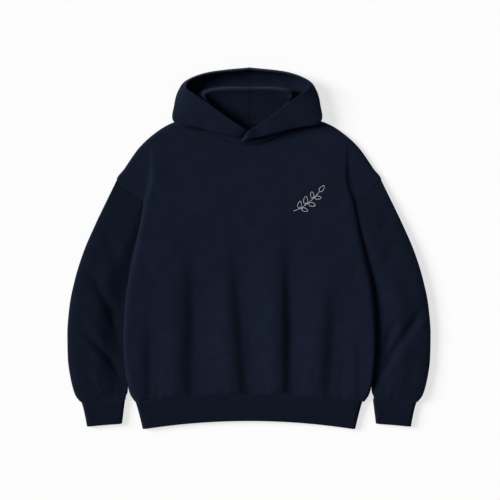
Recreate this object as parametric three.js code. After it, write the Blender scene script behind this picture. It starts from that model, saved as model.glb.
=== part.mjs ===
// A heavyweight pullover hoodie lying on its back, in millimetres.
// X runs across the chest, Y runs up to the hood and Z up from the surface that it lies on.
// The origin is on the underside of the back panel, halfway along the garment.
import * as THREE from "three";

const FLEECE = 2.4;
const RIB = 3;
const TAPE = 1;
const SEAM_GAP = 0.3;
const NAVY = 0x131a2b;
const RIB_NAVY = 0x111827;
const TAPE_NAVY = 0x161d30;

// The body from the hem seam up to the neck, a row for each place where its outline turns.
// half and y are the row's end, front and back the height of its middle on either panel.
// crease is where the body's side steps down to the sleeve, foot the height at which it ends,
// loft the height of the front, lift how far the back is raised over the sleeve,
// step how much of the step there is, and shoulder how much of the shoulder's rolled edge.
const BODY = table("half y front back crease foot loft lift step shoulder", [
  [268, -360, -342, -342, 268, 6.5, 14, 0, 1, 0],
  [279, -343, -327, -327, 279, 8.5, 17.5, 2, 1, 0],
  [285, -320, -307, -307, 285, 11, 18, 6.4, 1, 0],
  [292, -270, -260, -260, 292, 11.5, 18, 6.4, 1, 0],
  [295, -210, -204, -204, 295, 11.5, 18, 6.4, 1, 0],
  [292, -145, -141, -141, 292, 11.5, 18, 6.4, 1, 0],
  [285, -84, -82, -82, 285, 11.5, 18, 6.4, 1, 0],
  [275, -32, -34, -34, 275, 8, 17.5, 0, 1, 0],
  [262, 30, 22, 22, 262, 8, 17, 0, 1, 0],
  [251, 88, 70, 70, 251, 8.3, 16.5, 0, 1, 0],
  [249, 107, 88, 88, 248, 8.8, 16, 0, 1, 0],
  [280, 134, 106, 108, 242, 9, 15.5, 0, 1, 0],
  [311, 161, 124, 130, 236, 9, 15, 0, 1, 1],
  [292, 189, 142, 155, 231, 9, 14, 0, 0.9, 1],
  [259, 236, 168, 195, 230, 9, 13, 0, 0.5, 1],
  [230, 264, 190, 228, 229, 9, 12.5, 0, 0, 1],
  [186, 293, 217, 266, 186, 9, 12, 0, 0, 1],
  [124, 313, 246, 306, 124, 9, 12, 0, 0, 1],
]);
const BODY_STATIONS = [
  0, 0.4, 1, 2, 3, 4, 5, 6, 6.5, 7, 7.5, 8, 8.5, 9, 9.5, 10, 10.5,
  11, 11.5, 12, 12.5, 13, 13.5, 14, 15, 16, 16.5, 17,
];
// Where each panel's columns lie near a row's end, as a share of the flap outside the crease
// and a distance further in, and how many more there are up to the middle.
const FRONT_COLUMNS = {
  middle: "front",
  near: [[0, 0], [0.1, 0.12], [0.5, 0.27], [1, 0.45], [1, 1.8], [1, 4.8], [1, 9.3], [1, 15]],
  middleCount: 10,
};
const BACK_COLUMNS = {
  middle: "back",
  near: [[0, 0], [0, 0.6], [0, 2.4], [0, 6], [0, 12], [0, 36], [0, 48], [0, 60], [0, 74]],
  middleCount: 7,
};
const ARMPIT_ROW = 7;
const SHOULDER_POINT_ROW = 12;
const NECK_ROW = BODY.length - 1;
const RIGHT_SPREAD = 1.012; // the right crease lies a little farther out than the left one
const ROW_BEND = 2.5; // how late a row turns from its middle to its end
const SIDE_ROLL = 15;
const BACK_ROLL = 12;
const MIN_ROLL = 4;
const ROLL_SHARPNESS = 3.2; // a rolled edge is as wide as its height squared over this
const FOLD_FLOOR = 9.5; // the front has no folds where its loft is this low
const FOLD_RISE = 9; // and full folds where its loft is this much higher
const SHOULDER_ROLL = 9;
const SHOULDER_HEIGHT = 5;
const TUCK_LIFT_WIDTH = 36; // how far in from the edge the back stays raised over the sleeve
const TUCK_LIFT_FALL = 36;

// How far each sleeve's inner edge lies under the body's side.
const TUCK = [
  { y: -345, depth: -0.8 },
  { y: -318, depth: -0.8 },
  { y: -300, depth: 6 },
  { y: -255, depth: 22 },
  { y: -200, depth: 29 },
  { y: -145, depth: 24 },
  { y: -105, depth: 8 },
  { y: -86, depth: -0.8 },
  { y: -30, depth: -0.8 },
];

// A sleeve from the armhole to the cuff seam, a row for each section from its outer to its
// inner edge. bow is how much of the armhole's bend the section keeps.
const SLEEVE = table("outerX outerY innerY loft inner bow", [
  [311, 161, -32, 9, 8.6, 1],
  [330, 122, -52, 12, 7, 0.74],
  [362, 55, -84, 15.5, 5.5, 0.35],
  [389, -8, -112, 18, 5.4, 0.1],
  [409, -72, -145, 19, 5.4, 0],
  [422, -136, -184, 19, 5.4, 0],
  [427, -200, -228, 18.5, 5.4, 0],
  [426, -255, -268, 17.5, 5.4, 0],
  [419, -307, -306, 17, 5.4, 0],
  [408, -345, -338, 16.5, 9, 0],
  [397, -360, -354, 13, 13, 0],
]);
const SLEEVE_STATIONS = [
  0, 0.4, 1, 1.5, 2, 2.6, 3.3, 4, 4.7, 5.4, 6.1, 6.8, 7.4, 8, 8.5, 9, 9.5, 10,
];
const BAND_STATIONS = [0, 0.33, 0.66, 1];
const ARMHOLE_GAP_X = 0.6;
const ARMHOLE_GAP_Y = 1.5; // at the shoulder, where both edges are rolled
const SLEEVE_ROLL = 15;
const SLEEVE_INNER_RAMP = 38;
const SLEEVE_TUCK_MARGIN = 4;
const SLEEVE_INNER_ROLL = 0.52; // the inner edge's roll, as a share of the sleeve's height there
const SLEEVE_BROW = 24; // how far in from the outer edge the sleeve's top keeps rounding
const SLEEVE_BROW_LOFT = 0.55; // how much of its loft the sleeve has at the outer edge
// The cuff draws the sleeve's inner edge out, over this many rows and then more at its seam.
const SLEEVE_END_PULL = 7;
const SLEEVE_END_ROWS = 1.6;
const SLEEVE_SEAM_PULL = 9;

// The two rib bands, from the seam to the open end.
const CUFF = {
  seam: { outerX: 395, outerY: -360, innerX: 291, innerY: -354 },
  end: { outerX: 381, outerY: -417, innerX: 298, innerY: -410 },
  loft: 13,
  endLoft: 12,
  roll: 9,
  flare: 0.7,
};
const HEM = {
  seamHalf: 267,
  seamArc: 18,
  seamY: -342,
  endHalf: 250,
  endArc: 19,
  endY: -404,
  loft: 13.5,
  endLoft: 12,
  roll: 10,
  flare: 0.85,
};

// Soft troughs in the cloth, and ridges where the depth is negative, each along a line from its
// shallow end to its deep end.
const FOLD = "fromX fromY toX toY depth width";
const BODY_FOLDS = table(FOLD, [
  [-222, -180, -223, -345, 2.5, 16],
  [-176, 20, -178, -345, -2.2, 26],
  [-117, 30, -117, -345, 4.2, 26],
  [-66, -60, -42, -335, -2.2, 24],
  [-10, -70, 14, -335, 4.2, 24],
  [57, 40, 58, -335, -2, 22],
  [106, 60, 107, -335, 4, 22],
  [172, -60, 148, -345, -1.8, 24],
  [232, -90, 200, -345, 3.4, 22],
  [262, -180, 262, -345, 1.6, 12],
]);
const SLEEVE_FOLDS = {
  left: table(FOLD, [
    [-362, -82, -290, -205, 4.2, 14],
    [-362, -210, -284, -293, 4, 13],
    [-340, 45, -296, -55, 2.2, 15],
  ]),
  right: table(FOLD, [
    [412, -140, 317, -295, 4.2, 14],
    [356, -172, 309, -260, 3.4, 12],
    [350, 25, 306, -75, 2.2, 15],
  ]),
};

// One half of the hood from its tip at the front neck round to the middle of the back neck.
// Each section runs from the neck seam over the crest of the collar, down to the valley behind
// it, out to the rolled side and back to the rim of the face opening: middle of the cloth, x
// counted outwards.
const HOOD = [
  [[30, 249.5, 13.6], [22, 275, 19], [23, 274, 22.5], [29, 263.5, 27], [14, 282, 31]],
  [[60, 259.5, 13.5], [43, 293, 24], [49, 287, 24], [62, 271, 28], [38, 296.5, 35]],
  [[92, 277, 13.5], [66, 313, 29], [84, 300, 24], [113, 283.5, 27], [72, 321, 38.5]],
  [[109, 303, 11], [85, 333, 33], [128, 316, 19], [174, 296.5, 25], [108, 347, 40]],
  [[122, 318.5, 6], [97, 346, 35.5], [133, 341, 12], [174, 337, 22], [134, 364, 39]],
  [[111, 318.5, 3], [104, 359, 37], [129, 366, 7], [164.5, 371, 20], [148, 377, 36]],
  [[88, 312.5, 1.4], [91, 367, 38], [112, 379, 4], [144, 394.5, 17], [138, 395, 33]],
  [[50, 309, 1.4], [54, 371.5, 39], [67, 388, 2.2], [92, 413, 15], [89, 411, 30]],
  [[0.2, 308, 1.4], [0.2, 372.5, 40], [0.2, 389, 1.8], [0.2, 423, 15], [0.2, 420, 29]],
];
// The front end of each half. The right one crosses the middle and laps over the left one.
const HOOD_FRONT_END = {
  left: [
    [[8, 247, 13.5], [8, 262, 16], [8, 265, 18], [9, 264, 21.5], [2, 276, 24]],
  ],
  right: [
    [[-18, 247.5, 17], [-17.5, 249, 17.5], [-17, 250.5, 18.2], [-17, 252, 19.2], [-17, 254.5, 20.5]],
    [[-4, 246, 15.5], [-6, 254.5, 21], [-6, 256.5, 24.5], [-5, 257.5, 28.5], [-6, 269, 32.5]],
    [[12, 245, 13.7], [9, 264, 18.5], [9, 264.5, 22], [12, 259.5, 27.5], [3, 276, 34]],
  ],
};
const HOOD_RIGHT_SPREAD = 0.955; // the right half lies a little closer in than the left one
const HOOD_BOWL_SHARE = 0.55; // where the bowl sags, as a share of the way up to the crest
const HOOD_BOWL_SAG = 5;
const HOOD_BOWL_RISE = 30; // the rise from neck to crest at which the sag is full
const HOOD_ROWS = 19;
const HOOD_COLUMNS = 20;
const NECK_TAPE = { fromX: -104, toX: 104, inset: 3, width: 11 };

// The rows of a table as objects, from the names of its columns.
function table(names, rows) {
  const keys = names.split(" ");
  return rows.map((row) => Object.fromEntries(row.map((value, n) => [keys[n], value])));
}

const clamp = (value, low, high) => Math.min(Math.max(value, low), high);
const mix = (a, b, t) => a + (b - a) * t;

function smooth(t) {
  const s = clamp(t, 0, 1);
  return s * s * (3 - 2 * s);
}

// Height across a rounded edge: 0 at the edge, 1 from the roll's width inwards.
function roundEdge(distance, width) {
  const rest = 1 - clamp(distance / width, 0, 1);
  return Math.sqrt(1 - rest * rest);
}

// One column of a table at row t, on a curve that never overshoots its rows.
function column(rows, key, t) {
  const last = rows.length - 1;
  const i = clamp(Math.floor(t), 0, last - 1);
  const s = t - i;
  const step = (n) => rows[n + 1][key] - rows[n][key];
  const slope = (n) => {
    if (n === 0) return step(0);
    if (n === last) return step(last - 1);
    const before = step(n - 1);
    const after = step(n);
    return before * after > 0 ? (2 * before * after) / (before + after) : 0;
  };
  const a = rows[i][key];
  const b = rows[i + 1][key];
  const rise = s * s * (3 - 2 * s);
  return mix(a, b, rise) + slope(i) * s * (1 - s) * (1 - s) - slope(i + 1) * s * s * (1 - s);
}

// The row of a table where one of its rising or falling columns has the value.
function rowWhere(rows, key, value, low, high) {
  const rising = rows[high][key] > rows[low][key];
  let a = low;
  let b = high;
  for (let n = 0; n < 30; n += 1) {
    const t = (a + b) / 2;
    if (column(rows, key, t) > value === rising) b = t;
    else a = t;
  }
  return (a + b) / 2;
}

// How deep one trough is at a point. It runs full on past its deep end when it is open there.
function trough(fold, x, y, open) {
  const dx = fold.toX - fold.fromX;
  const dy = fold.toY - fold.fromY;
  const length = Math.hypot(dx, dy);
  const along = ((x - fold.fromX) * dx + (y - fold.fromY) * dy) / (length * length);
  const aside = ((x - fold.fromX) * dy - (y - fold.fromY) * dx) / length;
  const share = open ? smooth(along) : smooth(along * 3) * smooth((1 - along) * 3);
  return fold.depth * share * Math.exp(-((aside / fold.width) ** 2));
}

function troughs(folds, x, y, open) {
  return folds.reduce((sum, fold) => sum + trough(fold, x, y, open), 0);
}

// The normal of a grid of points at one of them, from its neighbours.
function gridNormal(grid, i, j) {
  const row = grid[i];
  const across = row[Math.min(j + 1, row.length - 1)].clone().sub(row[Math.max(j - 1, 0)]);
  const along = grid[Math.min(i + 1, grid.length - 1)][j].clone().sub(grid[Math.max(i - 1, 0)][j]);
  return across.cross(along).normalize();
}

// A grid moved along its normals. On the rows that levelEnds picks, the two end points move level.
function moveAlongNormals(grid, distance, levelEnds = () => false) {
  return grid.map((row, i) =>
    row.map((point, j) => {
      const normal = gridNormal(grid, i, j);
      const atEnd = j === 0 || j === row.length - 1;
      if (atEnd && levelEnds(i)) normal.setZ(0).normalize();
      return point.clone().addScaledVector(normal, distance);
    }),
  );
}

// A closed wall between two grids of the same size. A closed grid's last column meets its first.
function wallBetween(outer, inner, closed = false) {
  const rows = outer.length;
  const count = outer[0].length;
  const positions = [...outer.flat(), ...inner.flat()].flatMap((p) => [p.x, p.y, p.z]);
  const at = (layer, i, j) => layer * rows * count + i * count + (j % count);
  const index = [];
  const quad = (a, b, c, d) => index.push(a, b, c, a, c, d);
  const spans = closed ? count : count - 1;
  for (let i = 0; i < rows - 1; i += 1) {
    for (let j = 0; j < spans; j += 1) {
      quad(at(0, i, j), at(0, i, j + 1), at(0, i + 1, j + 1), at(0, i + 1, j));
      quad(at(1, i, j), at(1, i + 1, j), at(1, i + 1, j + 1), at(1, i, j + 1));
    }
  }
  for (let j = 0; j < spans; j += 1) {
    quad(at(0, 0, j), at(1, 0, j), at(1, 0, j + 1), at(0, 0, j + 1));
    quad(at(0, rows - 1, j), at(0, rows - 1, j + 1), at(1, rows - 1, j + 1), at(1, rows - 1, j));
  }
  for (let i = 0; i < rows - 1 && !closed; i += 1) {
    quad(at(0, i, 0), at(0, i + 1, 0), at(1, i + 1, 0), at(1, i, 0));
    quad(at(0, i, count - 1), at(1, i, count - 1), at(1, i + 1, count - 1), at(0, i + 1, count - 1));
  }
  const geometry = new THREE.BufferGeometry();
  geometry.setAttribute("position", new THREE.Float32BufferAttribute(positions, 3));
  geometry.setIndex(facingOut(positions, index));
  geometry.computeVertexNormals();
  return geometry;
}

// The triangles turned so that the volume that they close is positive.
function facingOut(positions, index) {
  const corner = (n) => new THREE.Vector3().fromArray(positions, index[n] * 3);
  let volume = 0;
  for (let n = 0; n < index.length; n += 3) {
    volume += corner(n).dot(corner(n + 1).cross(corner(n + 2)));
  }
  if (volume >= 0) return index;
  const turned = [];
  for (let n = 0; n < index.length; n += 3) turned.push(index[n], index[n + 2], index[n + 1]);
  return turned;
}

// Where a point of the body lies: t is its row, w its distance in from the row's end.
function bodyPlan(t, w, side, middle) {
  const spread = side > 0 ? mix(RIGHT_SPREAD, 1, smooth((t - ARMPIT_ROW) / 4)) : 1;
  const half = column(BODY, "half", t) * spread;
  const x = Math.max(half - w, 0);
  const centre = column(BODY, middle, t);
  const y = mix(centre, column(BODY, "y", t), (x / half) ** ROW_BEND);
  return { x: side * x, y, half };
}

function frontHeight(t, w, x, y) {
  const plainLoft = column(BODY, "loft", t);
  const slack = smooth((plainLoft - FOLD_FLOOR) / FOLD_RISE);
  const loft = plainLoft - slack * troughs(BODY_FOLDS, x, y, true);
  const foot = column(BODY, "foot", t);
  const flap = column(BODY, "half", t) - column(BODY, "crease", t);
  const step = column(BODY, "step", t);
  const roll = clamp((loft - foot) ** 2 / ROLL_SHARPNESS, MIN_ROLL, SIDE_ROLL);
  const level = loft - step * (loft - foot) * (1 - roundEdge(w - flap, roll));
  const rolled = mix(SHOULDER_HEIGHT, level, roundEdge(w, SHOULDER_ROLL));
  return mix(level, rolled, column(BODY, "shoulder", t));
}

function backHeight(t, w) {
  const lift = column(BODY, "lift", t);
  const under = lift * (1 - smooth((w - TUCK_LIFT_WIDTH) / TUCK_LIFT_FALL));
  const armhole = smooth(t - ARMPIT_ROW);
  const seam = mix(column(BODY, "foot", t), 0, armhole) + SHOULDER_HEIGHT * column(BODY, "shoulder", t);
  const roll = clamp((seam - lift) ** 2 / ROLL_SHARPNESS, MIN_ROLL, BACK_ROLL);
  return mix(Math.max(seam - SEAM_GAP, 0), under, roundEdge(w, roll));
}

// The distances in from a row's end at which a panel's columns lie, up to its middle.
function bodyColumns(t, side, { near, middleCount }) {
  const { half } = bodyPlan(t, 0, side, "front");
  const flap = Math.max(column(BODY, "half", t) - column(BODY, "crease", t), 0);
  const edge = near.map(([flapShare, distance]) => flap * flapShare + distance);
  const start = edge.at(-1);
  const far = Array.from({ length: middleCount }, (_, n) => mix(start, half, (n + 1) / middleCount));
  return [...edge, ...far];
}

function bodyGrid(panel, heightAt) {
  return BODY_STATIONS.map((t) => {
    const row = [];
    for (const side of [-1, 1]) {
      const points = bodyColumns(t, side, panel).map((w) => {
        const { x, y } = bodyPlan(t, w, side, panel.middle);
        return new THREE.Vector3(x, y, heightAt(t, w, x, y));
      });
      if (side < 0) row.push(...points);
      else row.push(...points.slice(0, -1).reverse());
    }
    return row;
  });
}

function evenSteps(first, last, count) {
  return Array.from({ length: count + 1 }, (_, n) => mix(first, last, n / count));
}

// Whether a panel's row ends in a rolled edge, rather than flat at the armhole.
function endIsRolled(i) {
  const t = BODY_STATIONS[i];
  return t <= ARMPIT_ROW || t >= SHOULDER_POINT_ROW;
}

function front() {
  const outer = bodyGrid(FRONT_COLUMNS, frontHeight);
  return wallBetween(outer, moveAlongNormals(outer, -FLEECE, endIsRolled));
}

function back() {
  const outer = bodyGrid(BACK_COLUMNS, backHeight);
  return wallBetween(outer, moveAlongNormals(outer, FLEECE, endIsRolled));
}

// Distances across a flattened tube, closer together at its rolled edges.
function acrossTube(width, roll, middleCount) {
  const near = [0, 0.1, 0.4, 1].map((share) => share * roll);
  const far = near.map((w) => width - w).reverse();
  const middle = Array.from({ length: middleCount }, (_, n) =>
    mix(roll, width - roll, (n + 1) / (middleCount + 1)),
  );
  return [...near, ...middle, ...far];
}

// One ring of a flattened tube: over its top from the outer edge to the inner one and back
// underneath. shrink is the wall's thickness on the inner ring and 0 on the outer one.
function tubeRing(width, roll, middleCount, loftAt, planAt, shrink) {
  const stations = acrossTube(width, roll, middleCount);
  const pointAt = (w, sign) => {
    const loft = loftAt(w);
    const edge = Math.min(roundEdge(w, roll), roundEdge(width - w, roll));
    const z = loft / 2 + sign * (loft / 2 - shrink) * edge;
    const { x, y } = planAt(shrink + (w * (width - 2 * shrink)) / width);
    return new THREE.Vector3(x, y, z);
  };
  const over = stations.map((w) => pointAt(w, 1));
  const under = stations.slice(1, -1).reverse().map((w) => pointAt(w, -1));
  return [...over, ...under];
}

function tubeWall(ringAt, sections, thickness) {
  const outer = sections.map((t) => ringAt(t, 0));
  const inner = sections.map((t) => ringAt(t, thickness));
  return wallBetween(outer, inner, true);
}

// The body's outline at the armhole, from the shoulder point to the armpit, as straight
// stretches between the rows that the front has there.
function armhole(share, side) {
  const t = mix(SHOULDER_POINT_ROW, ARMPIT_ROW, share);
  const low = Math.floor(t * 2) / 2;
  const high = Math.min(low + 0.5, SHOULDER_POINT_ROW);
  const a = bodyPlan(low, 0, side, "front");
  const b = bodyPlan(high, 0, side, "front");
  const part = high > low ? (t - low) / (high - low) : 0;
  return { x: mix(a.x, b.x, part), y: mix(a.y, b.y, part) };
}

const tuckAt = (y) => column(TUCK, "depth", rowWhere(TUCK, "y", y, 0, TUCK.length - 1));

// Where a point of a sleeve lies: t is its row, share how far it is across from the outer edge.
function sleevePlan(t, share, side) {
  const last = SLEEVE.length - 1;
  const outerX = column(SLEEVE, "outerX", t);
  const outerY = column(SLEEVE, "outerY", t);
  const innerY = column(SLEEVE, "innerY", t);
  const bodyRow = rowWhere(BODY, "y", innerY, 0, ARMPIT_ROW);
  const tuck = tuckAt(innerY);
  const fromEnd = t - last;
  const pull = SLEEVE_END_PULL * smooth(fromEnd + SLEEVE_END_ROWS) + SLEEVE_SEAM_PULL * smooth(fromEnd + 1);
  const innerX = Math.abs(bodyPlan(bodyRow, 0, side, "front").x) - tuck + pull;
  const bow = column(SLEEVE, "bow", t);
  const seam = armhole(share, side);
  const shoulder = armhole(0, side);
  const armpit = armhole(1, side);
  const bowX = side * (seam.x - mix(shoulder.x, armpit.x, share));
  const bowY = seam.y - mix(shoulder.y, armpit.y, share);
  const gapX = ARMHOLE_GAP_X * bow;
  const gapY = ARMHOLE_GAP_Y * bow * (1 - smooth(2 * share));
  const x = mix(outerX, innerX, share) + bow * bowX + gapX;
  return { x: side * x, y: mix(outerY, innerY, share) + bow * bowY - gapY };
}

function sleeveRing(t, side, folds, shrink) {
  const a = sleevePlan(t, 0, side);
  const b = sleevePlan(t, 1, side);
  const width = Math.hypot(a.x - b.x, a.y - b.y);
  const loft = column(SLEEVE, "loft", t);
  const inner = column(SLEEVE, "inner", t);
  const tuck = Math.max(tuckAt(column(SLEEVE, "innerY", t)), 0);
  const roll = Math.min(SLEEVE_ROLL, inner * SLEEVE_INNER_ROLL);
  const loftAt = (w) => {
    const { x, y } = sleevePlan(t, w / width, side);
    const inwards = smooth((width - w - tuck - SLEEVE_TUCK_MARGIN) / SLEEVE_INNER_RAMP);
    const outwards = mix(SLEEVE_BROW_LOFT, 1, roundEdge(w, SLEEVE_BROW));
    const full = mix(inner, loft, inwards * outwards);
    return full - Math.min(troughs(folds, x, y, false), full - inner);
  };
  return tubeRing(width, roll, 7, loftAt, (w) => sleevePlan(t, w / width, side), shrink);
}

function sleeve(side, folds) {
  return tubeWall((t, shrink) => sleeveRing(t, side, folds, shrink), SLEEVE_STATIONS, FLEECE);
}

function cuffRing(t, side, shrink) {
  const outerX = mix(CUFF.seam.outerX, CUFF.end.outerX, t ** CUFF.flare);
  const outerY = mix(CUFF.seam.outerY, CUFF.end.outerY, t) - SEAM_GAP;
  const innerX = mix(CUFF.seam.innerX, CUFF.end.innerX, t);
  const innerY = mix(CUFF.seam.innerY, CUFF.end.innerY, t) - SEAM_GAP;
  const width = Math.hypot(outerX - innerX, outerY - innerY);
  const loft = mix(CUFF.loft, CUFF.endLoft, t);
  const planAt = (w) => ({
    x: side * mix(outerX, innerX, w / width),
    y: mix(outerY, innerY, w / width),
  });
  return tubeRing(width, CUFF.roll, 4, () => loft, planAt, shrink);
}

const cuff = (side) => tubeWall((t, shrink) => cuffRing(t, side, shrink), BAND_STATIONS, RIB);

function hemRing(t, shrink) {
  const half = mix(HEM.seamHalf, HEM.endHalf, t ** HEM.flare);
  const loft = mix(HEM.loft, HEM.endLoft, t);
  const planAt = (w) => {
    const x = w - half;
    const share = Math.min(Math.abs(x) / half, 1);
    const seamY = HEM.seamY - HEM.seamArc * share ** ROW_BEND - SEAM_GAP;
    return { x, y: mix(seamY, HEM.endY - HEM.endArc * share ** 2, t) };
  };
  return tubeRing(half * 2, HEM.roll, 17, () => loft, planAt, shrink);
}

const hemBand = () => tubeWall(hemRing, BAND_STATIONS, RIB);

// The control points of one hood section, the named points of its row and one for the bowl's sag.
function hoodSection(row, side) {
  const across = side > 0 ? HOOD_RIGHT_SPREAD : -1;
  const place = ([x, y, z]) => new THREE.Vector3(across * x, y, z);
  const [neck, crest, valley, roll, rim] = row.map(place);
  const bowl = neck.clone().lerp(crest, HOOD_BOWL_SHARE);
  bowl.z -= HOOD_BOWL_SAG * smooth((crest.z - neck.z) / HOOD_BOWL_RISE);
  return [neck, bowl, crest, valley, roll, rim];
}

function hoodHalf(side, frontEnd) {
  const sections = [...frontEnd, ...HOOD].map((row) => hoodSection(row, side));
  const lengthwise = sections[0].map(
    (_, n) => new THREE.CatmullRomCurve3(sections.map((points) => points[n]), false, "catmullrom", 0.5),
  );
  const middle = evenSteps(0, 1, HOOD_ROWS).map((t) => {
    const profile = new THREE.CatmullRomCurve3(
      lengthwise.map((curve) => curve.getPoint(t)),
      false,
      "centripetal",
    );
    return evenSteps(0, 1, HOOD_COLUMNS).map((s) => profile.getPoint(s));
  });
  const outer = moveAlongNormals(middle, FLEECE / 2);
  const inner = moveAlongNormals(middle, -FLEECE / 2);
  return wallBetween(outer, inner);
}

// The tape over the back neck seam, on the inside of the back panel.
function neckTape() {
  const columns = evenSteps(NECK_TAPE.fromX, NECK_TAPE.toX, 14);
  const gridAt = (z) =>
    [NECK_TAPE.inset, NECK_TAPE.inset + NECK_TAPE.width].map((down) =>
      columns.map((x) => {
        const side = x < 0 ? -1 : 1;
        const half = column(BODY, "half", NECK_ROW);
        const { y } = bodyPlan(NECK_ROW, half - Math.abs(x), side, "back");
        return new THREE.Vector3(x, y - down, z);
      }),
    );
  const bottom = FLEECE + SEAM_GAP;
  return wallBetween(gridAt(bottom + TAPE), gridAt(bottom));
}

function piece(name, geometry, color) {
  const material = new THREE.MeshStandardMaterial({ color, roughness: 0.95, metalness: 0 });
  const mesh = new THREE.Mesh(geometry, material);
  mesh.name = name;
  return mesh;
}

const hoodie = new THREE.Group();
hoodie.add(piece("back", back(), NAVY));
hoodie.add(piece("front", front(), NAVY));
hoodie.add(piece("neck_tape", neckTape(), TAPE_NAVY));
hoodie.add(piece("hem_band", hemBand(), RIB_NAVY));
for (const [name, side] of [
  ["left", -1],
  ["right", 1],
]) {
  hoodie.add(piece(`sleeve_${name}`, sleeve(side, SLEEVE_FOLDS[name]), NAVY));
  hoodie.add(piece(`cuff_${name}`, cuff(side), RIB_NAVY));
  hoodie.add(piece(`hood_${name}`, hoodHalf(side, HOOD_FRONT_END[name]), NAVY));
}

export default hoodie;
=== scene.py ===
import math

import bmesh
import bpy
import numpy as np

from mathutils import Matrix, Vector


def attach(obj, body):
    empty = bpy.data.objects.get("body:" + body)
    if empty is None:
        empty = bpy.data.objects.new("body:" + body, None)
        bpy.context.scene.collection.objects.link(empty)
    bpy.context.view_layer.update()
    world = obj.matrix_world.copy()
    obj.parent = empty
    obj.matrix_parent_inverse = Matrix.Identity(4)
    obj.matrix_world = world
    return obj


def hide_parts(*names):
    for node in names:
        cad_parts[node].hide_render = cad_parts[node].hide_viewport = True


# A heavyweight pullover hoodie laid on its back, in metres: X across the chest, Y up to the
# hood, Z up from the floor. Left and right are as the camera sees them.
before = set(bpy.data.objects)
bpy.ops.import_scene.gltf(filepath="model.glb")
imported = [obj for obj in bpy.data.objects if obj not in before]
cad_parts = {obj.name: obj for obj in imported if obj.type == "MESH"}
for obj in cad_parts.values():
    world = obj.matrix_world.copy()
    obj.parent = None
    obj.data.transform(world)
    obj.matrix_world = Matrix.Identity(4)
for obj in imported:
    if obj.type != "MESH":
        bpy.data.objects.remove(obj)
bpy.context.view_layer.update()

FLEECE = 0.0024
RIB = 0.003
TAPE = 0.001
SEAM_GAP = 0.00004
END_ANGLES = np.radians([30, 60, 90, 120, 150])  # the loops round a wall's end
SHARP_ANGLE = 55


def table(names, rows):
    return {name: np.array(values, float) for name, values in zip(names.split(), zip(*rows))}


# The body from the hem seam up to the neck, a row for each place where its outline turns:
# half and y are the row's end, front and back the height of its middle on either panel,
# crease is where the body's side steps down to the sleeve, foot the height at which it ends,
# loft the height of the front and lift how far the back is raised over the sleeve.
BODY = table("half y front back crease foot loft lift step shoulder", [
    (0.268, -0.36, -0.342, -0.342, 0.268, 0.0065, 0.014, 0, 1, 0),
    (0.279, -0.343, -0.327, -0.327, 0.279, 0.0085, 0.0175, 0.002, 1, 0),
    (0.285, -0.32, -0.307, -0.307, 0.285, 0.011, 0.018, 0.0064, 1, 0),
    (0.292, -0.27, -0.26, -0.26, 0.292, 0.0115, 0.018, 0.0064, 1, 0),
    (0.295, -0.21, -0.204, -0.204, 0.295, 0.0115, 0.018, 0.0064, 1, 0),
    (0.292, -0.145, -0.141, -0.141, 0.292, 0.0115, 0.018, 0.0064, 1, 0),
    (0.285, -0.084, -0.082, -0.082, 0.285, 0.0115, 0.018, 0.0064, 1, 0),
    (0.275, -0.032, -0.034, -0.034, 0.275, 0.008, 0.0175, 0, 1, 0),
    (0.262, 0.03, 0.022, 0.022, 0.262, 0.008, 0.017, 0, 1, 0),
    (0.251, 0.088, 0.07, 0.07, 0.251, 0.0083, 0.0165, 0, 1, 0),
    (0.249, 0.107, 0.088, 0.088, 0.248, 0.0088, 0.016, 0, 1, 0),
    (0.28, 0.134, 0.106, 0.108, 0.242, 0.009, 0.0155, 0, 1, 0),
    (0.311, 0.161, 0.124, 0.13, 0.236, 0.009, 0.015, 0, 1, 1),
    (0.292, 0.189, 0.142, 0.155, 0.231, 0.009, 0.014, 0, 0.9, 1),
    (0.259, 0.236, 0.168, 0.195, 0.23, 0.009, 0.013, 0, 0.5, 1),
    (0.23, 0.264, 0.19, 0.228, 0.229, 0.009, 0.0125, 0, 0, 1),
    (0.186, 0.293, 0.217, 0.266, 0.186, 0.009, 0.012, 0, 0, 1),
    (0.124, 0.313, 0.246, 0.306, 0.124, 0.009, 0.012, 0, 0, 1),
])
SIDES = ((-1, "left"), (1, "right"))
ARMPIT_ROW = 7
SHOULDER_POINT_ROW = 12
NECK_ROW = 17
RIGHT_SPREAD = 1.012
SPREAD_ROWS = 4  # over how many rows above the armpit the two halves become equal
ROW_BEND = 2.5
SIDE_ROLL = 0.015
SHOULDER_ROLL = 0.009
SHOULDER_HEIGHT = 0.005
TUCK_LIFT_WIDTH = 0.036
TUCK_LIFT_FALL = 0.036
BACK_ROLL = 0.012
MIN_ROLL = 0.004
ROLL_SHARPNESS = 0.0032  # the tightest bend in the thickness of a rolled edge
BODY_COLUMNS = dict(front=76, back=50)  # on each half, between its roll and the middle
MESH_ROWS = dict(front=11, back=8, sleeve=12)  # for each row of the tables
FLAP_SHARES = np.array([0, 0.008, 0.025, 0.06, 0.11, 0.19, 0.3, 0.43, 0.57, 0.7, 0.82, 0.92, 1])
FLAP_STEP = 0.0001  # keeps a flap's columns apart where it has no width
ROLL_ANGLES = np.radians(np.arange(30, 91, 6))
MIN_ROW_STEP = 0.008
SEARCH_STEPS = 40  # in each row, when a row is looked for by a column's value

# How far each sleeve's inner edge lies under the body's side.
TUCK = table("y depth", [
    (-0.345, -0.00003),
    (-0.318, -0.00003),
    (-0.3, 0.006),
    (-0.255, 0.022),
    (-0.2, 0.029),
    (-0.145, 0.024),
    (-0.105, 0.011),
    (-0.086, 0.0065),
    (-0.074, 0.003),
    (-0.061, -0.00003),
    (-0.03, -0.00003),
])

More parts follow.
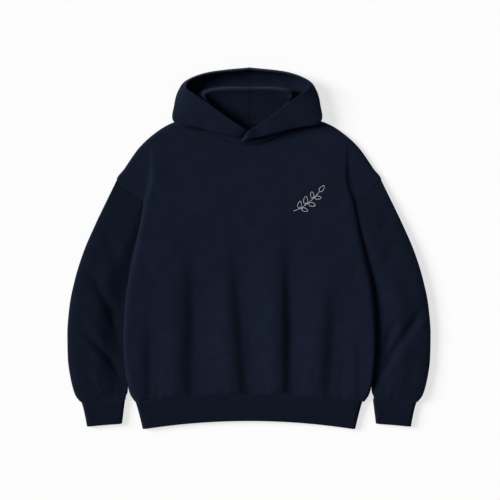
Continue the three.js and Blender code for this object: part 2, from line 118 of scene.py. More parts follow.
# A sleeve from the armhole to the cuff seam, a row for each section.
SLEEVE = table("outer_x outer_y inner_y loft inner bow", [
    (0.311, 0.161, -0.032, 0.009, 0.0086, 1),
    (0.33, 0.122, -0.052, 0.012, 0.007, 0.74),
    (0.362, 0.055, -0.084, 0.0155, 0.0055, 0.35),
    (0.389, -0.008, -0.112, 0.018, 0.0054, 0.1),
    (0.409, -0.072, -0.145, 0.019, 0.0054, 0),
    (0.422, -0.136, -0.184, 0.019, 0.0054, 0),
    (0.427, -0.2, -0.228, 0.0185, 0.0054, 0),
    (0.426, -0.255, -0.268, 0.0175, 0.0054, 0),
    (0.419, -0.307, -0.306, 0.017, 0.0054, 0),
    (0.408, -0.345, -0.338, 0.0165, 0.009, 0),
    (0.397, -0.36, -0.354, 0.013, 0.013, 0),
])
SLEEVE_LAST = 10
ARMHOLE_LAP = 0.0004  # so that no light comes through the armhole seam
SLEEVE_ROLL = 0.015
SLEEVE_OUTER_ROLL = 0.024
SLEEVE_OUTER_SHARE = 0.55  # the share of the loft at the outer edge's start
SLEEVE_INNER_ROLL_SHARE = 0.52
SLEEVE_INNER_START = 0.004
SLEEVE_INNER_RAMP = 0.066
SLEEVE_PULLS = ((0.007, 1.6), (0.009, 1.0))  # how far its end draws in, over how many rows
CUFF_ROW_LENGTH = 0.03
ARMHOLE_ROW_LENGTH = 0.045

# A flattened tube's columns over each rolled edge, and between its two rolls. A band's make
# whole ribs.
SLEEVE_COLUMNS = (7, 62)
SLEEVE_END_ROWS = ((0.02, 0.04, 0.07, 0.1), (0.03, 0.06, 0.1, 0.15))
CUFF_COLUMNS = (16, 123)
HEM_COLUMNS = (20, 787)

CUFF = dict(
    seam=(0.395, -0.36, 0.291, -0.354), end=(0.381, -0.417, 0.298, -0.41),
    loft=0.013, end_loft=0.012, roll=0.009, length=0.057, taper=0.7,
)
HEM = dict(
    seam_half=0.267, seam_arc=0.018, seam_y=-0.342, end_half=0.25, end_arc=0.019, end_y=-0.404,
    loft=0.0135, end_loft=0.012, roll=0.01, length=0.062, taper=0.85,
)
HEM_WAVE = dict(depth=0.0005, size=0.035, down=0.06, start=0.3)
BAND_ROWS = np.array([0, 0.015, 0.035, 0.06, 0.1, 0.16, 0.25, 0.37, 0.5, 0.63, 0.76, 0.88, 1])
RIB_DEPTH = 0.00045
RIB_COLUMNS = 4  # columns of the mesh for each rib

# Soft troughs and ridges (a negative depth) from a shallow end to a deep end.
FOLD_DEPTH = 2.0
FOLD_STEEP = 0.95  # the share of its width that a body fold's left wall takes
FOLD_GENTLE = 2.5
OPEN_FOLD_RAMP = 1.8
FOLD_END_RAMP = 3
FOLDLESS_LOFT = 0.0095  # cloth that lies lower than this has no folds
FOLD_LOFT_RAMP = 0.009
FOLD = "from_x from_y to_x to_y depth width"
BODY_FOLDS = table(FOLD, [
    (-0.23, -0.14, -0.23, -0.345, 0.0025, 0.016),
    (-0.176, 0.02, -0.178, -0.345, -0.0012, 0.026),
    (-0.128, 0.08, -0.131, -0.345, 0.0043, 0.024),
    (-0.066, -0.06, -0.042, -0.335, -0.001, 0.024),
    (-0.036, 0.06, -0.002, -0.335, 0.0043, 0.02),
    (0.057, 0.04, 0.058, -0.335, -0.001, 0.022),
    (0.097, 0.11, 0.102, -0.335, 0.0036, 0.02),
    (0.09, 0.08, 0.092, -0.335, 0.001, 0.01),
    (0.172, -0.06, 0.148, -0.345, -0.001, 0.024),
    (0.214, -0.03, 0.192, -0.345, 0.0036, 0.022),
    (0.262, -0.18, 0.262, -0.345, 0.0016, 0.012),
])
# Shallow grooves in the sides that lie on the floor, with x counted outwards on a sleeve.
BACK_CREASES = table(FOLD, [
    (-0.15, -0.06, -0.12, -0.33, 0.0016, 0.016),
    (-0.03, -0.14, 0.01, -0.33, 0.0014, 0.014),
    (0.12, 0.02, 0.095, -0.31, 0.0016, 0.018),
    (0.06, 0.23, 0.12, 0.12, 0.0012, 0.014),
    (-0.07, 0.22, -0.13, 0.1, 0.0012, 0.015),
    (0.01, 0.16, -0.02, -0.02, 0.001, 0.016),
])
SLEEVE_UNDER_CREASES = table(FOLD, [
    (0.38, -0.11, 0.31, -0.23, 0.0014, 0.012),
    (0.392, -0.21, 0.33, -0.3, 0.0014, 0.011),
    (0.34, 0.05, 0.305, -0.05, 0.0012, 0.012),
])
# Small creases on the front.
BODY_CREASES = table(FOLD, [
    (-0.095, 0.07, -0.052, 0.005, 0.001, 0.013),
    (-0.236, 0.175, -0.205, 0.09, 0.0012, 0.014),
    (-0.262, 0.000, -0.225, -0.075, 0.001, 0.012),
    (0.236, 0.16, 0.208, 0.08, 0.0011, 0.014),
    (0.264, -0.02, 0.232, -0.1, 0.001, 0.012),
    (-0.128, -0.11, -0.124, -0.26, 0.0009, 0.01),
    (0.000, -0.17, 0.006, -0.3, 0.0008, 0.009),
    (0.1, -0.11, 0.099, -0.3, 0.001, 0.008),
    (-0.02, 0.2, 0.01, 0.13, 0.0007, 0.016),
    (0.11, 0.215, 0.07, 0.15, 0.0007, 0.015),
    (-0.125, 0.215, -0.085, 0.14, 0.0007, 0.015),
    (-0.185, -0.25, -0.188, -0.335, 0.0009, 0.007),
    (0.156, -0.255, 0.152, -0.335, 0.0008, 0.007),
    (0.224, -0.24, 0.218, -0.33, 0.0009, 0.007),
])
# The folds and the small creases of each sleeve, by its side.
SLEEVE_FOLDS = {
    -1: table(FOLD, [
        (-0.378, -0.04, -0.28, -0.235, 0.0048, 0.012),
        (-0.396, -0.183, -0.27, -0.32, 0.0048, 0.011),
        (-0.34, 0.045, -0.296, -0.055, 0.0022, 0.015),
    ]),
    1: table(FOLD, [
        (0.424, -0.12, 0.291, -0.317, 0.0062, 0.012),
        (0.353, -0.155, 0.302, -0.267, 0.0044, 0.01),
        (0.35, 0.025, 0.306, -0.075, 0.0022, 0.015),
    ]),
}
SLEEVE_CREASES = {
    -1: table(FOLD, [
        (-0.398, -0.13, -0.33, -0.235, -0.001, 0.014),
        (-0.4, -0.215, -0.325, -0.262, -0.0009, 0.012),
        (-0.336, 0.11, -0.3, 0.03, 0.001, 0.012),
        (-0.385, -0.29, -0.345, -0.345, 0.0011, 0.008),
        (-0.352, -0.3, -0.332, -0.35, 0.001, 0.006),
        (-0.318, -0.315, -0.312, -0.35, 0.001, 0.006),
        (-0.395, -0.02, -0.365, -0.12, 0.0008, 0.012),
        (-0.3, -0.1, -0.285, -0.19, 0.001, 0.01),
    ]),
    1: table(FOLD, [
        (0.412, -0.175, 0.345, -0.285, -0.001, 0.013),
        (0.372, -0.12, 0.318, -0.205, -0.0008, 0.012),
        (0.338, 0.105, 0.304, 0.02, 0.001, 0.012),
        (0.392, -0.28, 0.352, -0.345, 0.0011, 0.009),
        (0.356, -0.305, 0.336, -0.35, 0.001, 0.006),
        (0.322, -0.318, 0.314, -0.35, 0.001, 0.006),
        (0.392, -0.01, 0.372, -0.11, 0.0008, 0.012),
        (0.3, -0.11, 0.288, -0.18, 0.001, 0.01),
    ]),
}

# One half of the hood, in millimetres: for each section the middle of the cloth at the neck
# seam, the crest of the collar, the valley behind it, the rolled side and the rim, with x
# counted outwards.
HOOD = [
    ((30, 249.5, 13.6), (22, 275, 19), (23, 274, 22.5), (29, 263.5, 27), (14, 282, 31)),
    ((60, 259.5, 13.5), (43, 293, 24), (49, 287, 24), (62, 271, 28), (38, 296.5, 35)),
    ((92, 277, 13.5), (66, 313, 29), (84, 300, 24), (113, 283.5, 27), (72, 321, 38.5)),
    ((109, 303, 11), (85, 333, 33), (128, 316, 19), (174, 296.5, 25), (108, 347, 40)),
    ((122, 318.5, 6), (97, 346, 35.5), (133, 341, 12), (174, 337, 22), (134, 364, 39)),
    ((111, 318.5, 3), (104, 359, 37), (125, 363, 7), (164.5, 371, 20), (148, 377, 36)),
    ((88, 312.5, 1.4), (91, 367, 38), (107, 374.5, 5), (144, 394.5, 17), (138, 395, 33)),
    ((50, 307.4, 1.4), (54, 371.5, 39), (63, 381.5, 3.4), (92, 413, 15), (89, 411, 30)),
    ((0, 306.6, 1.4), (0, 372.5, 40), (0, 382, 3.1), (0, 423, 15), (0, 420, 29)),
]
# The front end of each half. The right one crosses the middle and laps over the left one.
HOOD_FRONT_END = {
    -1: [
        ((8, 247, 13.5), (8, 262, 16), (8, 265, 18), (9, 264, 21.5), (2, 276, 24)),
    ],
    1: [
        ((-18, 247.5, 17), (-17.5, 249, 17.5), (-17, 250.5, 18.2), (-17, 252, 19.2),
         (-17, 254.5, 20.5)),
        ((-4, 246, 15.5), (-6, 254.5, 21), (-6, 256.5, 24.5), (-5, 257.5, 28.5), (-6, 269, 32.5)),
        ((12, 245, 13.7), (9, 264, 18.5), (9, 264.5, 22), (12, 259.5, 27.5), (3, 276, 34)),
    ],
}
HOOD_RIGHT_SPREAD = 0.955  # the right half lies a little closer in than the left one
HOOD_BOWL_SAG = 0.005
HOOD_BOWL_AT = 0.55  # where the bowl sags most between the neck seam and the crest
HOOD_UNDER_CREST_AT = 0.86
HOOD_UNDER_CREST_SAG = 0.6
HOOD_FULL_SAG_RISE = 0.03
HOOD_ROWS = 141
HOOD_COLUMNS = 151
HOOD_HEM = 0.026  # the width of the rim's turned hem
HOOD_HEM_BACK = 0.038
HOOD_HEM_TURN = dict(start=0.62, over=0.25)
HOOD_HEM_STEP = 0.0011
HOOD_HEM_EDGE = 0.0006
HOOD_NOISE = 0.5
HOOD_RIM_FADE = 0.01
NECK_TAPE = dict(from_x=-0.104, to_x=0.104, inset=0.003, width=0.011)
TAPE_MESH = (9, 81)  # its rows and columns

# Small reliefs: humps by size and height, the dip at a seam, the gathers beside a rib band and
# over what distance, or how many rows, they fade out beside an edge.
HUMPS = ((0.075, 0.00075), (0.03, 0.0003), (0.011, 0.0001))
LATTICE = 64
LATTICE_START = (17.3, 5.7)
SEAM_DIP = dict(depth=0.0013, width=0.0045)
GATHER = dict(height=0.0008, broad=0.0105, fine=0.0047, reach=0.021, start=0.002, fine_share=0.5,
              fading=1.5)
FRONT_FADE = dict(hem=0.02, side=0.025, gather_side=0.015, neck_rows=0.8)
ARMHOLE_FADE = dict(armpit_rows=0.6, shoulder_rows=0.4)
BACK_FADE = dict(start=0.08, over=0.03, hem_rows=0.8, neck_rows=1.2)
SLEEVE_FADE = dict(inner=1.6, cuff=0.012, armhole=0.02, gather=2, tuck=0.004)
UPRIGHT_ROWS = 0.5
SEED = dict(body=11, hem_gather=31, sleeve=51, cuff_gather=71, hem=91, hood=111)

# The colours of the cloths and threads, and the width and height of a loop of the knits.
FLEECE_COLOR = (0.0066, 0.0112, 0.027)
SLEEVE_SHADED_COLOR = (0.005, 0.0085, 0.0215)  # the same cloth, darkened as painted shade over the sleeves
RIB_COLOR = (0.0048, 0.0083, 0.0202)
TAPE_COLOR = (0.0085, 0.011, 0.025)
THREAD_COLOR = (0.01, 0.016, 0.034)
PALE_THREAD_COLOR = (0.8, 0.81, 0.84)
FLEECE_KNIT = (0.0011, 0.0009)
RIB_KNIT = (0.0013, 0.001)
TWILL_PITCH = 0.0012
TWILL_BAND = 0.0035  # how far its lines run before they turn

# The stitches, their rows' distances from the seams, and the satin stitch of the embroidery.
STITCH = dict(pitch=0.0033, length=0.0026, radius=0.00036)
SATIN = dict(pitch=0.00055, length=0.0016, radius=0.00026)
THREAD_SIDES = 5
SPINDLE = ((-0.5, 0.35), (0, 1), (0.5, 0.35))  # a stitch's rings by place and thickness
STITCH_LIFT = 0.3  # a stitch's height over the cloth, as a share of its radius
SATIN_LIFT = 0.4
BAND_STITCH = 0.0028  # from a seam to its row of stitches
ARMHOLE_STITCH = 0.003
COVER_SEAM = 0.0045
NECKLINE_STITCHES = (0.0035, 0.0095)
ARMHOLE_FREE = (1, 0.1)  # rows without stitches, above the armpit and below the shoulder
FIRST_STITCHED_COLUMN = 4  # a sleeve's rows of stitches end at its outer roll
RIM_STITCH_INSET = 0.002
RIM_STITCH_HEIGHT = 0.0001

# The sprig on the chest: the stem's ends and bend, and for each leaf where it grows on the stem,
# how far it turns from it in degrees and its length.
SPRIG = dict(
    start=(0.104, 0.088),
    bend=(0.132, 0.094),
    tip=(0.166, 0.134),
    stem_end=0.97,
    leaves=[
        (0.22, 52, 0.019), (0.3, -50, 0.018), (0.48, 50, 0.021), (0.56, -50, 0.019),
        (0.74, 48, 0.018), (0.8, -46, 0.017), (0.97, 2, 0.02),
    ],
)
NEAREST = 4  # the points of the cloth that place one point of the embroidery
LEAF = dict(middle=0.58, half=0.42, belly=0.21, fullness=1.05, taper=0.25, stalk=0.16)
SPRIG_POINTS = dict(stem=60, leaf=50, stalk=5)

# The picture: its width at the height of the floor, the camera above it and the light.
FRAME_WIDTH = 1.176
CAMERA = (0.0024, -0.0035, 7.0)
SENSOR = 36
LIGHT_FROM = (-0.86, 0.22, 0.47)
LIGHT_STRENGTH = 3.45
LIGHT_ANGLE = 28  # in degrees, as wide as a large softbox
WORLD_STRENGTH = 0.14
FLOOR = dict(size=12, height=-0.0005, base=0.45, glow=0.685)


def smooth(t):
    s = np.clip(t, 0, 1)
    return s * s * (3 - 2 * s)


def mix(a, b, t):
    return a + (b - a) * t


def round_edge(distance, width):
    rest = 1 - np.clip(distance / width, 0, 1)
    return np.sqrt(1 - rest * rest)


def column(values, t):
    """A table's column at rows t, on a curve that never overshoots its rows."""
    step = np.diff(values)
    product = step[:-1] * step[1:]
    total = np.where(product > 0, step[:-1] + step[1:], 1)
    slope = np.concatenate([step[:1], np.where(product > 0, 2 * product / total, 0), step[-1:]])
    i = np.clip(np.floor(t).astype(int), 0, len(values) - 2)
    s = t - i
    rise = s * s * (3 - 2 * s)
    bend = slope[i] * s * (1 - s) ** 2 - slope[i + 1] * s * s * (1 - s)
    return mix(values[i], values[i + 1], rise) + bend


def row_where(values, wanted, low, high):
    """The row between low and high where a rising or falling column has the wanted value."""
    t = np.linspace(low, high, SEARCH_STEPS * (high - low) + 1)
    found = column(values, t)
    if found[-1] < found[0]:
        t, found = t[::-1], found[::-1]
    return np.interp(wanted, found, t)


def folds_at(folds, x, y, open_end):
    """The depth of a table of troughs at points, full on past their deep ends if open there."""
    depth = 0
    for fx, fy, tx, ty, deep, width in zip(*folds.values()):
        dx, dy = tx - fx, ty - fy
        long = math.hypot(dx, dy)
        along = ((x - fx) * dx + (y - fy) * dy) / long**2
        aside = ((x - fx) * dy - (y - fy) * dx) / long
        if open_end:
            share = smooth(along * OPEN_FOLD_RAMP)
            reach = width * np.where(aside > 0, FOLD_STEEP, FOLD_GENTLE)
        else:
            share = smooth(along * FOLD_END_RAMP) * smooth((1 - along) * FOLD_END_RAMP)
            reach = width
        depth = depth + deep * share * np.exp(-((aside / reach) ** 2))
    return depth


def rough(x, y, size, seed):
    """Soft uneven heights between -1 and 1, with humps of one size."""
    lattice = np.random.RandomState(seed).uniform(-1, 1, (LATTICE, LATTICE))
    u, v = x / size + LATTICE_START[0], y / size + LATTICE_START[1]
    i, j = np.floor(u).astype(int), np.floor(v).astype(int)
    s, t = smooth(u - i), smooth(v - j)

    def at(a, b):
        return lattice[a % LATTICE, b % LATTICE]

    low = mix(at(i, j), at(i + 1, j), s)
    high = mix(at(i, j + 1), at(i + 1, j + 1), s)
    return mix(low, high, t)


def cloth_noise(x, y, seed):
    """The unevenness of cloth that hasn't been pressed."""
    return sum(height * rough(x, y, size, seed + n) for n, (size, height) in enumerate(HUMPS))


def unit(vectors):
    return vectors / np.maximum(np.linalg.norm(vectors, axis=-1, keepdims=True), 1e-12)


def normals_of(grid, closed):
    """The normals of a grid of points, which may join its last column to its first."""
    if closed:
        across = np.roll(grid, -1, 1) - np.roll(grid, 1, 1)
    else:
        across = np.gradient(grid, axis=1)
    return unit(np.cross(across, np.gradient(grid, axis=0)))


def new_object(name, points, faces, material):
    mesh = bpy.data.meshes.new(name)
    mesh.from_pydata(points.tolist(), [], faces)
    mesh.validate()
    mesh.polygons.foreach_set("use_smooth", [True] * len(mesh.polygons))
    mesh.materials.append(material)
    thing = bpy.data.objects.new(name, mesh)
    bpy.context.scene.collection.objects.link(thing)
    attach(thing, "root")
    return thing


def facing_out(thing):
    work = bmesh.new()
    work.from_mesh(thing.data)
    bmesh.ops.recalc_face_normals(work, faces=work.faces)
    work.to_mesh(thing.data)
    work.free()
    thing.data.set_sharp_from_angle(angle=math.radians(SHARP_ANGLE))
    return thing


def end_loops(outer, inner, before):
    """The rows that round off a wall's end, from its outer to its inner row."""
    middle, half = (outer + inner) / 2, (outer - inner) / 2
    ahead = unit(outer - before)
    reach = np.linalg.norm(half, axis=1, keepdims=True)
    return [middle + half * math.cos(a) + ahead * reach * math.sin(a) for a in END_ANGLES]


def shell(name, outer, inner, material, closed=False, round_ends=(False, False)):
    """A closed wall between two grids, whose first or last row may be a rounded edge."""
    rows, count = outer.shape[:2]
    start = end_loops(outer[0], inner[0], outer[1]) if round_ends[0] else []
    end = end_loops(outer[-1], inner[-1], outer[-2]) if round_ends[1] else []
    loops = [*outer, *end, *inner[::-1], *start[::-1]]
    points = np.concatenate(loops)
    total = len(loops)
    a = np.arange(total)[:, None] * count
    b = (np.arange(total)[:, None] + 1) % total * count
    j = np.arange(count if closed else count - 1)[None, :]
    k = (j + 1) % count
    faces = np.stack([a + j, a + k, b + k, b + j], axis=-1).reshape(-1, 4).tolist()
    if not closed:
        # Each side is closed between the two grids, and by one face over each rounded end.
        first_inner = rows + len(end)
        for side in (0, count - 1):
            for i in range(rows - 1):
                other = first_inner + rows - 1 - i
                faces.append([n * count + side for n in (i, i + 1, other - 1, other)])
            if end:
                faces.append([n * count + side for n in range(rows - 1, first_inner + 1)])
            if start:
                ring = [*range(first_inner + rows - 1, total), 0]
                faces.append([n * count + side for n in ring])
    return facing_out(new_object(name, points, faces, material))


def threads(name, places, directions, normals, length, radius, material):
    """Many short spindles, one for each stitch, joined in one mesh."""
    sides = THREAD_SIDES
    turn = np.arange(sides) * 2 * math.pi / sides
    aside = unit(np.cross(directions, normals))
    up = np.cross(aside, directions)
    rings = []
    for along, thick in SPINDLE:
        centre = places + directions * (along * length)
        for angle in turn:
            out = aside * math.cos(angle) + up * math.sin(angle)
            rings.append(centre + radius * thick * out)
    points = np.stack(rings, axis=1).reshape(-1, 3)
    last = (len(SPINDLE) - 1) * sides
    base = np.arange(len(places))[:, None] * len(SPINDLE) * sides
    faces = []
    for ring in range(0, last, sides):
        for s in range(sides):
            n = (s + 1) % sides
            quad = [ring + s, ring + n, ring + sides + n, ring + sides + s]
            faces += (base + np.array(quad)).tolist()
    faces += (base + np.arange(sides)[::-1]).tolist()
    faces += (base + last + np.arange(sides)).tolist()
    return new_object(name, points, faces, material)


def seam_row(points, normals, pitch, height):
    """Stitch places along a path on a surface, with their directions and normals."""
    run = np.concatenate([[0], np.cumsum(np.linalg.norm(np.diff(points, axis=0), axis=1))])
    at = np.arange(pitch / 2, run[-1], pitch)

    def pick(values):
        return np.stack([np.interp(at, run, values[:, k]) for k in range(3)], axis=1)

    normal = unit(pick(normals))
    return pick(points) + normal * height, unit(pick(np.gradient(points, axis=0))), normal


def body_plan(t, w, side, middle):
    """Where a point of the body lies: t is its row, w its distance in from the row's end."""
    spread = mix(RIGHT_SPREAD, 1, smooth((t - ARMPIT_ROW) / SPREAD_ROWS)) if side > 0 else 1
    half = column(BODY["half"], t) * spread
    x = np.maximum(half - w, 0)
    y = mix(column(BODY[middle], t), column(BODY["y"], t), (x / half) ** ROW_BEND)
    return side * x, y, half


def seam_dip(distance):
    """How far cloth dips towards a seam."""
    return SEAM_DIP["depth"] * (1 - round_edge(distance, SEAM_DIP["width"]))


def puckers(across, distance, seed):
    """Uneven little gathers that run out of a seam whose band is shorter than the cloth."""
    level = across * 0
    ridges = rough(across, level, GATHER["broad"], seed)
    ridges = ridges + GATHER["fine_share"] * rough(across, level, GATHER["fine"], seed + 1)
    fading = np.exp(-((distance / GATHER["reach"]) ** GATHER["fading"]))
    return GATHER["height"] * ridges * fading * smooth(distance / GATHER["start"])


def hem_seam_y(x):
    """Where the front's hem seam runs."""
    half = column(BODY["half"], 0)
    share = np.minimum(np.abs(x) / half, 1)
    return mix(column(BODY["front"], 0), column(BODY["y"], 0), share**ROW_BEND)


def front_height(t, w, x, y):
    """The height of the front's upper face, with its rolled sides, folds and dips at seams."""
    plain = column(BODY["loft"], t)
    slack = smooth((plain - FOLDLESS_LOFT) / FOLD_LOFT_RAMP)
    loft = plain - slack * FOLD_DEPTH * folds_at(BODY_FOLDS, x, y, True)
    foot = column(BODY["foot"], t)
    flap = column(BODY["half"], t) - column(BODY["crease"], t)
    roll = np.minimum(SIDE_ROLL, (loft - foot) ** 2 / ROLL_SHARPNESS)
    near_neck = smooth((NECK_ROW - t) / FRONT_FADE["neck_rows"])
    relief = cloth_noise(x, y, SEED["body"]) - folds_at(BODY_CREASES, x, y, False)
    above_hem = y - hem_seam_y(x)
    free = smooth(above_hem / FRONT_FADE["hem"]) * smooth((w - flap) / FRONT_FADE["side"])
    loft = loft + relief * near_neck * free
    gathers = puckers(x, above_hem, SEED["hem_gather"])
    loft = loft + gathers * smooth(w / FRONT_FADE["gather_side"])
    step = column(BODY["step"], t)
    level = loft - step * (loft - foot) * (1 - round_edge(w - flap, np.maximum(roll, MIN_ROLL)))
    rolled = mix(SHOULDER_HEIGHT, level, round_edge(w, SHOULDER_ROLL))
    z = mix(level, rolled, column(BODY["shoulder"], t))
    above_armpit = smooth((t - ARMPIT_ROW) / ARMHOLE_FADE["armpit_rows"])
    at_armhole = above_armpit * smooth((SHOULDER_POINT_ROW - t) / ARMHOLE_FADE["shoulder_rows"])
    return z - seam_dip(above_hem) - seam_dip(w) * at_armhole


def back_height(t, w, x, y):
    """The height of the back's underside, which its sides lift over the sleeves."""
    lift = column(BODY["lift"], t)
    under = lift * (1 - smooth((w - TUCK_LIFT_WIDTH) / TUCK_LIFT_FALL))
    foot = mix(column(BODY["foot"], t), 0, smooth(t - ARMPIT_ROW))
    seam = foot + SHOULDER_HEIGHT * column(BODY["shoulder"], t)
    roll = np.clip((seam - lift) ** 2 / ROLL_SHARPNESS, MIN_ROLL, BACK_ROLL)
    z = mix(np.maximum(seam - SEAM_GAP, 0), under, round_edge(w, roll))
    inside = smooth((w - BACK_FADE["start"]) / BACK_FADE["over"])
    inside = inside * smooth(t / BACK_FADE["hem_rows"])
    inside = inside * smooth((NECK_ROW - t) / BACK_FADE["neck_rows"])
    return z + inside * folds_at(BACK_CREASES, x, y, False)


def body_columns(t, side, far_count, roll_width):
    """Distances in from a row's end: across the flap, the rolled side and up to the middle."""
    half = body_plan(t, 0, side, "front")[2]
    flap = np.maximum(column(BODY["half"], t) - column(BODY["crease"], t), 0)
    on_flap = flap * FLAP_SHARES + FLAP_STEP * np.arange(len(FLAP_SHARES))
    on_roll = flap + roll_width * (1 - np.cos(ROLL_ANGLES))
    far = mix(on_roll[:, -1:], half, np.arange(1, far_count + 1)[None, :] / far_count)
    return np.concatenate([on_flap, on_roll, far], axis=1)


def body_grid(rows, panel, roll_width, height_at):
    """The points of a panel's outer face, from its left end across to its right one."""
    t = rows[:, None]
    sides = []
    for side in (-1, 1):
        w = body_columns(t, side, BODY_COLUMNS[panel], roll_width)
        x, y, _ = body_plan(t, w, side, panel)
        sides.append(np.stack([x, y, height_at(t, w, x, y)], axis=-1))
    return np.concatenate([sides[0], sides[1][:, -2::-1]], axis=1)


def fine_rows(last, per_row, start=(0.03, 0.06, 0.1, 0.15, 0.22, 0.3), end=(0.02, 0.05, 0.09)):
    """Rows spread evenly over a table, with more of them at its ends."""
    even = np.linspace(0, last, int(last * per_row) + 1)
    rows = np.unique(np.concatenate([even, start, [last - e for e in end]]))
    return rows[np.concatenate([[True], np.diff(rows) > MIN_ROW_STEP])]


def panel_walls(rows, grid, thickness):
    """A grid and its copy a wall's thickness away. Its rolled ends move level."""
    normal = normals_of(grid, False)
    upright = smooth((rows - ARMPIT_ROW) / UPRIGHT_ROWS)
    upright = upright * smooth((SHOULDER_POINT_ROW - rows) / UPRIGHT_ROWS)
    for end in (0, -1):
        normal[:, end, 2] *= upright
        normal[:, end] = unit(normal[:, end])
    return grid, grid + normal * thickness


def across_tube(width, roll, roll_count, middle_count):
    """Distances across a flattened tube, closer together at its rolled edges."""
    roll = np.broadcast_to(roll, width.shape)
    near = roll * (1 - np.cos(np.linspace(0, math.pi / 2, roll_count + 1)))[None, :]
    share = np.arange(1, middle_count + 1)[None, :] / (middle_count + 1)
    return np.concatenate([near, mix(roll, width - roll, share), width - near[:, ::-1]], axis=1)


def tube_rings(w, width, roll, loft, plan_at, shrink, over=0, under=0):
    """A flattened tube's rings: over the top from the outer edge to the inner one and back."""
    edge = np.minimum(round_edge(w, roll), round_edge(width - w, roll))
    x, y = plan_at((shrink + w * (width - 2 * shrink) / width) / width)
    half = loft / 2
    top = np.stack([x, y, half + (half - shrink) * edge + over * edge], axis=-1)
    bottom = np.stack([x, y, half - (half - shrink) * edge + under * edge], axis=-1)
    return np.concatenate([top, bottom[:, -2:0:-1]], axis=1)


def sleeve_plan(t, share, side):
    """Where a point of a sleeve lies: t is its row, share its place from outer to inner edge."""
    outer_x, outer_y = column(SLEEVE["outer_x"], t), column(SLEEVE["outer_y"], t)
    inner_y, bow = column(SLEEVE["inner_y"], t), column(SLEEVE["bow"], t)
    body_row = row_where(BODY["y"], inner_y, 0, ARMPIT_ROW)
    pull = sum(far * smooth(t - SLEEVE_LAST + rows) for far, rows in SLEEVE_PULLS)
    inner_x = np.abs(body_plan(body_row, 0, side, "front")[0]) - tuck_at(inner_y) + pull
    seam = body_plan(mix(SHOULDER_POINT_ROW, ARMPIT_ROW, share), 0, side, "front")
    shoulder = body_plan(np.array(float(SHOULDER_POINT_ROW)), 0, side, "front")
    armpit = body_plan(np.array(float(ARMPIT_ROW)), 0, side, "front")
    bow_x = side * (seam[0] - mix(shoulder[0], armpit[0], share))
    bow_y = seam[1] - mix(shoulder[1], armpit[1], share)
    x = mix(outer_x, inner_x, share) + bow * (bow_x - ARMHOLE_LAP)
    return side * x, mix(outer_y, inner_y, share) + bow * (bow_y + ARMHOLE_LAP)


def tuck_at(y):
    """How far a sleeve's inner edge lies under the body."""
    return column(TUCK["depth"], row_where(TUCK["y"], y, 0, len(TUCK["y"]) - 1))


def sleeve_rings(rows, side, shrink):
    """A sleeve's rings, with its slope down to the body, its folds and its gathers."""
    t = rows[:, None]
    outer, inner = sleeve_plan(t, 0, side), sleeve_plan(t, 1, side)
    width = np.hypot(outer[0] - inner[0], outer[1] - inner[1])
    loft, thin = column(SLEEVE["loft"], t), column(SLEEVE["inner"], t)
    roll = np.minimum(SLEEVE_ROLL, thin * SLEEVE_INNER_ROLL_SHARE)
    w = across_tube(width, roll, *SLEEVE_COLUMNS)
    x, y = sleeve_plan(t, w / width, side)
    tuck = np.maximum(tuck_at(column(SLEEVE["inner_y"], t)), 0)
    inwards = smooth((width - w - tuck - SLEEVE_INNER_START) / SLEEVE_INNER_RAMP)
    outwards = mix(SLEEVE_OUTER_SHARE, 1, round_edge(w, SLEEVE_OUTER_ROLL))
    full = mix(thin, loft, inwards * outwards)
    height = full - np.minimum(folds_at(SLEEVE_FOLDS[side], x, y, False), full - thin)
    to_cuff = (SLEEVE_LAST - t) * CUFF_ROW_LENGTH
    from_armhole = t * ARMHOLE_ROW_LENGTH
    relief = cloth_noise(x, y, SEED["sleeve"] + side)
    relief = relief - folds_at(SLEEVE_CREASES[side], x, y, False)
    free = smooth(inwards * SLEEVE_FADE["inner"]) * smooth(to_cuff / SLEEVE_FADE["cuff"])
    free = free * smooth(from_armhole / SLEEVE_FADE["armhole"])
    gathers = puckers(w, to_cuff, SEED["cuff_gather"] + side)
    gathered = smooth(inwards * SLEEVE_FADE["gather"] + 1 - tuck / SLEEVE_FADE["tuck"])
    over = relief * free + gathers * gathered - seam_dip(to_cuff) - seam_dip(from_armhole)
    under = free * folds_at(SLEEVE_UNDER_CREASES, side * x, y, False)

    def plan_at(share):
        return sleeve_plan(t, share, side)

    return tube_rings(w, width, roll, height, plan_at, shrink, over, under)


def ribbed(rings):
    """A band's rings with ribs pressed in along their columns."""
    normal = normals_of(rings, True)
    outwards = np.sum(normal * (rings - rings.mean(axis=1, keepdims=True)), axis=2).mean()
    phase = np.arange(rings.shape[1]) / RIB_COLUMNS
    depth = RIB_DEPTH * (0.5 - 0.5 * np.cos(2 * math.pi * phase))[None, :, None]
    return rings - normal * math.copysign(1, outwards) * depth


def cuff_rings(rows, side, shrink):
    """A cuff's rings from its seam to its end."""
    t = rows[:, None]
    seam, end = CUFF["seam"], CUFF["end"]
    outer_x = mix(seam[0], end[0], t ** CUFF["taper"])
    outer_y = mix(seam[1], end[1], t) - SEAM_GAP
    inner_x, inner_y = mix(seam[2], end[2], t), mix(seam[3], end[3], t) - SEAM_GAP
    width = np.hypot(outer_x - inner_x, outer_y - inner_y)
    loft = mix(CUFF["loft"], CUFF["end_loft"], t)
    w = across_tube(width, CUFF["roll"], *CUFF_COLUMNS)
    dip = -seam_dip(t * CUFF["length"])

    def plan_at(share):
        return side * mix(outer_x, inner_x, share), mix(outer_y, inner_y, share)

    return tube_rings(w, width, CUFF["roll"], loft, plan_at, shrink, dip)


